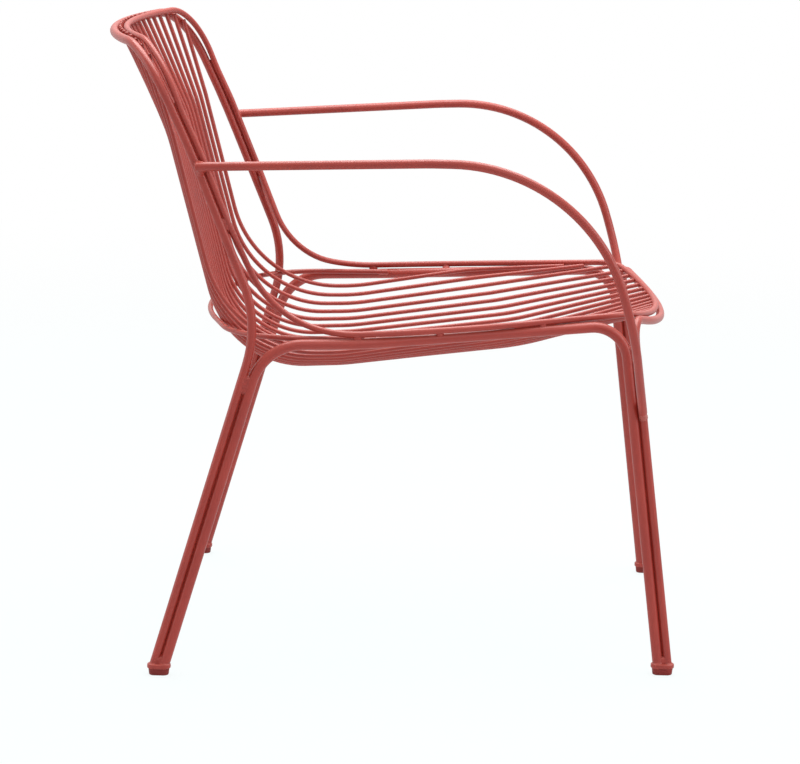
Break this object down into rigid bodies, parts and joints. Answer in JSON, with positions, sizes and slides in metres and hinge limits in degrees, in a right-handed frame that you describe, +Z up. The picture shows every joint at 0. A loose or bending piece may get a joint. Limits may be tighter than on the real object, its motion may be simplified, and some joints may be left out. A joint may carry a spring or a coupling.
{
  "type": "garden armchair",
  "caption": "Welded tube and wire garden armchair with a curved back and seat of parallel wires, bent tube legs and looped armrests.",
  "frame": {"origin": "on the floor under the middle of the chair's box", "axes": "+Z up, -Y the way the sitter faces, +X to the right as seen from the front"},
  "size_m": [0.6124, 0.6597, 0.7037],
  "materials": {
    "frame_tubes": "satin powder coat, brick red",
    "shell_rods": "satin powder coat, brick red",
    "seat_wires": "satin powder coat, brick red",
    "foot_caps": "matte moulded plastic, dark red"
  },
  "bodies": {
    "root": {"rear_hoop": "frame_tubes", "front_hoop": "frame_tubes", "side_frame_left": "frame_tubes", "side_frame_right": "frame_tubes", "arm_left": "frame_tubes", "arm_right": "frame_tubes", "edge_rod": "shell_rods", "rear_support_rod": "shell_rods", "foot_rear_left": "foot_caps", "foot_rear_right": "foot_caps", "foot_front_left": "foot_caps", "foot_front_right": "foot_caps", "wire_01": "seat_wires", "wire_02": "seat_wires", "wire_03": "seat_wires", "wire_04": "seat_wires", "wire_05": "seat_wires", "wire_06": "seat_wires", "wire_07": "seat_wires", "wire_08": "seat_wires", "wire_09": "seat_wires", "wire_10": "seat_wires", "wire_11": "seat_wires", "wire_12": "seat_wires", "wire_13": "seat_wires", "wire_14": "seat_wires", "wire_15": "seat_wires", "wire_16": "seat_wires", "wire_17": "seat_wires", "wire_18": "seat_wires", "wire_19": "seat_wires", "wire_20": "seat_wires", "wire_21": "seat_wires", "wire_22": "seat_wires", "wire_23": "seat_wires", "wire_24": "seat_wires"}
  },
  "joints": []
}
